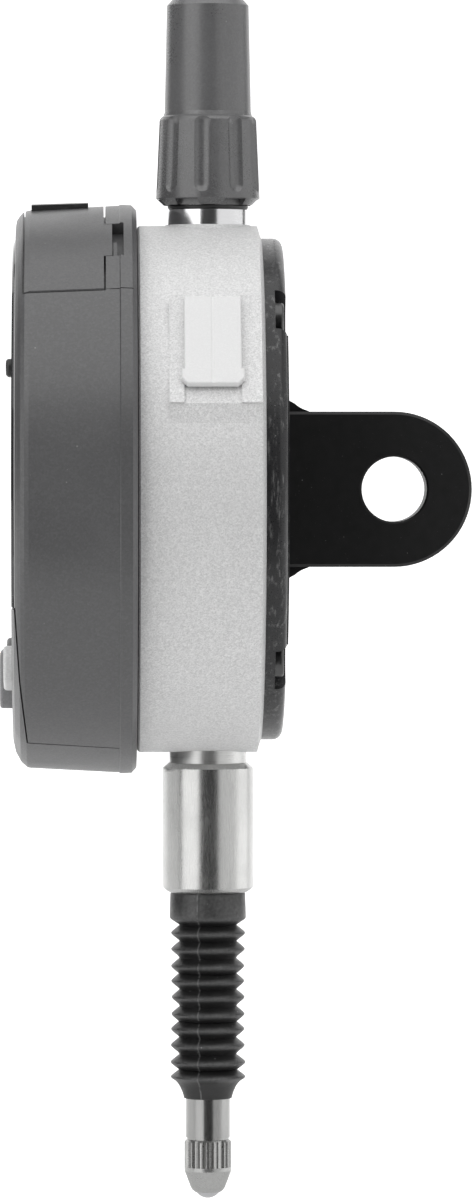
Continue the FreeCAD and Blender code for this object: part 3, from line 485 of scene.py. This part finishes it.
PART_FINISHES = {
    "case": ["housing"],
    "tab": ["port_cover"],
    "head": ["bezel", "rear_ring", "keypad_cover", "battery_door", "latch_tabs"],
    "cover": ["back_cover"],
    "cap": ["cap"],
    "rubber": ["back_gasket", "cap_seal", "stop_buffer", "keypad_mat", "contact_strip",
               "door_grip", "bellows"],
    "black": ["port_connector", "lcd_frame", "upper_switch", "battery_guide", "read_head_chip",
              "display_chip"],
    "light_key": ["right_key"],
    "mid_key": ["zero_key"],
    "dark_key": ["left_key", "upper_key"],
    "ground": ["stem_sleeve"],
    "turned": ["stem_tube", "carrier", "guide_pin", "stop_pin", "return_spring"],
    "polished": ["spindle"],
    "chrome": ["top_neck"],
    "knurled": ["contact_point"],
    "lapped": ["contact_ball"],
    "sheet": ["swivel_washer", "swivel_clip"],
    "screw": ["back_screws", "ring_screws", "board_screws", "guide_rail_screws",
              "carrier_screw"],
    "bronze": ["lower_bush", "upper_bush", "guide_rail", "swivel_hub"],
    "gold": ["port_pins", "battery_contacts"],
    "cell": ["battery"],
    "board": ["read_head_board", "display_board"],
    "flex": ["spiral_flex"],
    "plate": ["lens"],
    "liquid": ["lcd_panel", "scale_strip"],
}

FINISHES = {}


def dress(piece, finish):
    piece.data.materials.clear()
    piece.data.materials.append(FINISHES[finish].material)


# ---- modelling helpers ----

def clear_selection():
    if bpy.context.object is not None and bpy.context.object.mode == "EDIT":
        bpy.ops.object.mode_set(mode="OBJECT")
    bpy.ops.object.select_all(action="DESELECT")


def start_piece(name):
    """Name the primitive just added and open it in edit mode, all selected."""
    piece = bpy.context.object
    piece.name = name
    piece.data.name = name
    bpy.ops.object.mode_set(mode="EDIT")
    bpy.ops.mesh.select_all(action="SELECT")
    return piece


def select_edges(piece, wanted):
    """In edit mode, select the edges whose middle the test accepts."""
    bpy.ops.mesh.select_all(action="DESELECT")
    bpy.ops.object.mode_set(mode="OBJECT")
    points = piece.data.vertices
    for edge in piece.data.edges:
        first, second = (piece.matrix_world @ points[index].co for index in edge.vertices)
        edge.select = wanted((first + second) / 2)
    bpy.ops.object.mode_set(mode="EDIT")
    bpy.ops.mesh.select_mode(type="EDGE")


def finish_piece(piece, smooth=30.0):
    """Back to object mode, with the place in the mesh and the normals outwards."""
    bpy.ops.object.mode_set(mode="EDIT")
    bpy.ops.mesh.select_all(action="SELECT")
    bpy.ops.mesh.remove_doubles(threshold=1e-7)
    bpy.ops.mesh.normals_make_consistent(inside=False)
    bpy.ops.object.mode_set(mode="OBJECT")
    bpy.ops.object.transform_apply(location=True, rotation=True, scale=True)
    bpy.ops.object.shade_smooth_by_angle(angle=math.radians(smooth))
    piece.select_set(False)
    return piece


def lathe(name, rings, sides):
    """Closed shell of revolution about Z, from a loop of rings given as radius and height."""
    clear_selection()
    radius, height = rings[0]
    bpy.ops.mesh.primitive_circle_add(vertices=sides, radius=radius, location=(0, 0, height))
    bpy.ops.object.transform_apply(location=True)
    piece = start_piece(name)
    for radius_next, height_next in rings[1:] + rings[:1]:
        bpy.ops.mesh.extrude_region_move(
            TRANSFORM_OT_translate={"value": (0, 0, height_next - height)})
        share = radius_next / radius
        bpy.ops.transform.resize(value=(share, share, 1), center_override=(0, 0, height_next))
        radius, height = radius_next, height_next
    return finish_piece(piece, 50.0)


def bellows_rings(settings):
    """Outline of the bellows: down the outside, then up the inside."""
    low, high = span("bellows", 2)
    collar = high - 2.8 * MM        # lower edge of the plain collar
    first = high - 4.3 * MM         # height of the first fold
    pitch = 1.68 * MM
    steps = 12                      # rings in each fold
    crest = 0.16                    # roundness of a fold's edge
    reach = math.sqrt(1 + crest ** 2) - crest
    overshoot = 1.04                # so that the smoothed folds reach the full radius
    amplitude = settings.peak - settings.valley
    rings = [(3.84 * MM, high), (3.93 * MM, high - 0.15 * MM), (4.00 * MM, collar + 0.5 * MM),
             (4.00 * MM, collar + 0.15 * MM), (3.90 * MM, collar)]
    for fold in range(settings.folds):
        centre = first - fold * pitch
        sag = 0.07 * math.sin(2.1 * fold + 0.6) * MM
        share = 1 - 0.075 * math.sin(math.pi * min(1.0, fold / 7.5)) + 0.04 * (fold > 7)
        for step in range(steps):
            turn = step / steps - 0.5
            if fold == settings.folds - 1 and turn > 0:
                break
            swell = 1 - (math.sqrt(4 * turn ** 2 + crest ** 2) - crest) / reach
            radius = settings.valley + amplitude * share * swell * overshoot
            rings.append((radius, centre + sag - turn * pitch))
    last = first - (settings.folds - 1) * pitch
    # the skirt below the last fold, as radius and drop in millimetres
    skirt = ((3.78, 0.12), (3.45, 0.32), (3.16, 0.62), (2.92, 1.0), (2.72, 1.45), (2.58, 1.85))
    rings += [(radius * MM, last - drop * MM) for radius, drop in skirt]
    rings += [(2.53 * MM, low + 0.04 * MM), (2.46 * MM, low), (2.39 * MM, low + 0.04 * MM)]
    rings.append((2.39 * MM, last - 0.85 * MM))
    for fold in range(settings.folds - 1, -1, -1):
        centre = first - fold * pitch
        if fold < settings.folds - 1:
            rings.append((settings.valley - settings.wall, centre - 0.5 * pitch))
        rings.append((settings.peak - settings.wall - 0.1 * MM, centre))
    rings += [(settings.valley - settings.wall, first + 0.5 * pitch),
              (3.44 * MM, collar + 0.4 * MM), (3.44 * MM, high)]
    return rings


class INDICATOR_OT_bellows(bpy.types.Operator):
    """Rubber bellows with its folds and mould seam, built in one fixed shape"""
    bl_idname = "indicator.bellows"
    bl_label = "Bellows"

    def execute(self, context):
        settings = context.scene.indicator_bellows
        sides = 160
        seam_height = 0.07 * MM
        seam_width = 0.11 * MM
        wander_height = 0.025 * MM
        piece = lathe("bellows_rubber", bellows_rings(settings), sides)
        for vertex in piece.data.vertices:
            radius = math.hypot(vertex.co.x, vertex.co.y)
            turn = math.atan2(vertex.co.y, vertex.co.x) - settings.seam_turn
            away = abs((turn + math.pi / 2) % math.pi - math.pi / 2) * radius
            ridge = seam_height * math.exp(-(away / seam_width) ** 2)
            wander = wander_height * math.sin(3 * turn + vertex.co.z * 900)
            if radius > settings.valley - 0.2 * MM:
                share = (radius + ridge + wander) / radius
                vertex.co.x *= share
                vertex.co.y *= share
        dress(piece, "bellows")
        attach(piece, "case")
        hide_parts("bellows")
        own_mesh(piece)
        return {"FINISHED"}


class INDICATOR_OT_spring(bpy.types.Operator):
    """Return spring round the rod, built as one fixed coil of wire"""
    bl_idname = "indicator.spring"
    bl_label = "Return spring"

    def execute(self, context):
        clear_selection()
        low, high = span("return_spring", 2)
        wire = 0.2 * MM
        coil = 3.0 * MM
        turns = 12
        steps = 40
        bpy.ops.mesh.primitive_circle_add(vertices=10, radius=wire, fill_type="NOTHING",
                                          location=(coil, 0, low + wire),
                                          rotation=(math.pi / 2, 0, 0))
        piece = start_piece("return_spring_coil")
        bpy.ops.object.mode_set(mode="OBJECT")
        bpy.ops.object.transform_apply(location=True, rotation=True)
        screw = piece.modifiers.new("coil", "SCREW")
        screw.axis = "Z"
        screw.iterations = turns
        screw.steps = steps
        screw.render_steps = steps
        screw.screw_offset = (high - low - 2 * wire) / turns
        bpy.ops.object.modifier_apply(modifier=screw.name)
        bpy.ops.object.mode_set(mode="EDIT")
        bpy.ops.mesh.select_all(action="SELECT")
        bpy.ops.mesh.fill_holes(sides=12)
        finish_piece(piece, 60.0)
        dress(piece, "turned")
        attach(piece, "case")
        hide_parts("return_spring")
        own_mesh(piece)
        return {"FINISHED"}


SEGMENTS = {"0": "abcdef", "2": "abged", "3": "abgcd", "5": "afgcd", "-": "g"}


def add_bar(x, z, length, width, upright, depth):
    """One display segment: a thin slab with pointed ends, centred at x and z."""
    clear_selection()
    front = span("lcd_panel", 1)[0]
    bpy.ops.mesh.primitive_cube_add(size=1, location=(x, front - depth / 2, z))
    piece = start_piece("segment")
    size = (width, depth, length) if upright else (length, depth, width)
    bpy.ops.transform.resize(value=size)
    bpy.ops.mesh.subdivide(number_cuts=1)
    bpy.ops.object.mode_set(mode="OBJECT")
    along, across = (2, 0) if upright else (0, 2)
    for vertex in piece.data.vertices:
        if abs(vertex.co[across]) > 0.25 * width and abs(vertex.co[along]) > 0.45 * length:
            vertex.co[along] *= 1 - width / length
    piece.select_set(False)
    return piece


class INDICATOR_OT_digits(bpy.types.Operator):
    """Digits, scale marks and underline of the display, as thin printed segments"""
    bl_idname = "indicator.digits"
    bl_label = "Display digits"

    def execute(self, context):
        settings = context.scene.indicator_display
        height = settings.digit_height
        width = settings.digit_width
        stroke = settings.stroke
        depth = 0.02 * MM
        gap = 0.12 * MM
        marks = 21
        mark_pitch = 1.35
        middle = CASE_HEIGHT + 0.4 * MM
        bars = []
        pitch = width + 1.5 * MM
        text = "-0235"
        start = -pitch * (len(text) - 1) / 2 + 0.6 * MM
        half = (height - stroke) / 4
        for place, sign in enumerate(text):
            x = start + place * pitch
            edge = (width - stroke) / 2
            layout = {"a": (x, middle + 2 * half, False), "g": (x, middle, False),
                      "d": (x, middle - 2 * half, False),
                      "f": (x - edge, middle + half, True), "b": (x + edge, middle + half, True),
                      "e": (x - edge, middle - half, True), "c": (x + edge, middle - half, True)}
            for segment in SEGMENTS[sign]:
                px, pz, upright = layout[segment]
                length = (2 * half if upright else width - stroke) - gap
                bars.append(add_bar(px, pz, length, stroke, upright, depth))
        dot_x = start + 1.5 * pitch
        bars.append(add_bar(dot_x, middle - 2 * half, 0.95 * MM, 0.8 * MM, True, depth))
        for mark in range(marks):
            tall = 1.5 * MM if mark % 5 == 0 else 0.8 * MM
            bars.append(add_bar((mark - marks // 2) * mark_pitch * MM, middle + 6.6 * MM, tall, 0.22 * MM,
                                True, depth))
        bars.append(add_bar(0.0, middle - 6.2 * MM, 6.0 * MM, 0.5 * MM, False, depth))
        clear_selection()
        for bar in bars:
            bar.select_set(True)
        context.view_layer.objects.active = bars[0]
        bpy.ops.object.join()
        piece = context.object
        piece.name = "display_digits"
        bpy.ops.object.transform_apply(location=True, rotation=True, scale=True)
        piece.select_set(False)
        dress(piece, "ink")
        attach(piece, "head")
        return {"FINISHED"}


class INDICATOR_OT_finishes(bpy.types.Operator):
    """Give every frame part its finish"""
    bl_idname = "indicator.finishes"
    bl_label = "Finishes"

    def execute(self, context):
        FINISHES.update(build_finishes(context.scene.indicator_finish,
                                        context.scene.indicator_bellows.seam_turn))
        for finish, names in PART_FINISHES.items():
            for name in names:
                dress(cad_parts[name], finish)
        return {"FINISHED"}


def area_light(name, azimuth, elevation, distance, width, height, power, aim):
    """Softbox at an angle from +X round Z and above the horizon, facing the aim point."""
    data = bpy.data.lights.new(name, "AREA")
    data.shape = "RECTANGLE"
    data.size = width
    data.size_y = height
    data.energy = power
    light = bpy.data.objects.new(name, data)
    bpy.context.scene.collection.objects.link(light)
    turn = math.radians(azimuth)
    rise = math.radians(elevation)
    way = Vector((math.cos(turn) * math.cos(rise), math.sin(turn) * math.cos(rise),
                  math.sin(rise)))
    light.location = aim + way * distance
    light.rotation_euler = way.to_track_quat("Z", "Y").to_euler()


class INDICATOR_OT_stage(bpy.types.Operator):
    """Pale floor, soft studio light and the camera"""
    bl_idname = "indicator.stage"
    bl_label = "Stage"

    def execute(self, context):
        settings = context.scene.indicator_studio
        clear_selection()
        floor_size = 6.0
        back_edge = -floor_size / 2
        near = 0.1
        wall_height = 4.0
        white = 1.1
        floor_height = TIP - 60 * MM
        bpy.ops.mesh.primitive_plane_add(size=floor_size, location=(0, 0, floor_height))
        floor = start_piece("floor_sweep")
        bpy.ops.transform.resize(value=(0.54, 1, 1),
                                 center_override=(back_edge, 0, floor_height))
        select_edges(floor, lambda middle: middle.x < back_edge + near)
        bpy.ops.mesh.extrude_region_move(TRANSFORM_OT_translate={"value": (0, 0, wall_height)})
        select_edges(floor, lambda middle: (middle.x < back_edge + near
                                            and middle.z < floor_height + near))
        bpy.ops.mesh.bevel(offset=1.0, segments=16, affect="EDGES")
        finish_piece(floor, 60.0)
        pale = Finish("pale_floor", roughness=0.9)
        wash = pale.noise(90.0)
        pale.put("Base Color", pale.mix(wash.fit(0.3, 0.7), (0.78, 0.78, 0.78),
                                        (0.80, 0.80, 0.80)))
        away = pale.radius((0, 0, 0), 0, 1) * MM
        glow = away.fit(0.25, 0.65, 0.12, 1.0)
        pale.put("Emission Color", pale.mix(glow, (0.0, 0.0, 0.0), (1.0, 1.0, 1.0)))
        pale.put("Emission Strength", settings.floor_glow)
        floor.data.materials.append(pale.material)
        aim = Vector((0, 0, CASE_HEIGHT))
        area_light("left_box", -46, 6, 0.75, 0.66, 1.2, settings.left_power, aim)
        area_light("right_box", 72, 6, 0.80, 1.70, 1.2, settings.right_power, aim)
        area_light("top_box", 0, 76, 1.0, 1.7, 1.6, settings.top_power, aim)
        world = bpy.data.worlds.new("studio")
        context.scene.world = world
        world.use_nodes = True
        nodes = world.node_tree.nodes
        links = world.node_tree.links
        back = nodes["Background"]
        back.inputs["Color"].default_value = (1, 1, 1, 1)
        path = nodes.new("ShaderNodeLightPath")
        level = nodes.new("ShaderNodeMapRange")
        level.inputs["To Min"].default_value = settings.dim
        level.inputs["To Max"].default_value = white
        links.new(path.outputs["Is Camera Ray"], level.inputs["Value"])
        links.new(level.outputs[0], back.inputs["Strength"])
        context.scene.view_settings.view_transform = "Standard"
        data = bpy.data.cameras.new("camera")
        data.lens = settings.lens
        data.clip_start = 0.01
        data.clip_end = 50.0
        camera = bpy.data.objects.new("camera", data)
        context.scene.collection.objects.link(camera)
        camera.location = (settings.distance, settings.side, settings.height)
        target = Vector((0, 3.0 * MM, CASE_HEIGHT - 11.6 * MM))
        camera.rotation_euler = (camera.location - target).to_track_quat("Z", "Y").to_euler()
        context.scene.camera = camera
        return {"FINISHED"}


OPERATORS = (INDICATOR_OT_finishes, INDICATOR_OT_bellows, INDICATOR_OT_spring,
             INDICATOR_OT_digits, INDICATOR_OT_stage)


class INDICATOR_PT_panel(bpy.types.Panel):
    """Steps that build the indicator"""
    bl_label = "Plunger indicator"
    bl_idname = "INDICATOR_PT_panel"
    bl_space_type = "VIEW_3D"
    bl_region_type = "UI"
    bl_category = "Indicator"

    def draw(self, context):
        for operator in OPERATORS:
            self.layout.operator(operator.bl_idname)


GROUPS = {"indicator_finish": FinishSettings, "indicator_bellows": BellowsSettings,
          "indicator_display": DisplaySettings, "indicator_studio": StudioSettings}


def register():
    for group in GROUPS.values():
        bpy.utils.register_class(group)
    for name, group in GROUPS.items():
        setattr(bpy.types.Scene, name, PointerProperty(type=group))
    for operator in OPERATORS:
        bpy.utils.register_class(operator)
    bpy.utils.register_class(INDICATOR_PT_panel)


def unregister():
    bpy.utils.unregister_class(INDICATOR_PT_panel)
    for operator in reversed(OPERATORS):
        bpy.utils.unregister_class(operator)
    for name, group in GROUPS.items():
        delattr(bpy.types.Scene, name)
        bpy.utils.unregister_class(group)


def main():
    register()
    for operator in OPERATORS:
        group, name = operator.bl_idname.split(".")
        getattr(getattr(bpy.ops, group), name)()


if __name__ == "__main__":
    main()
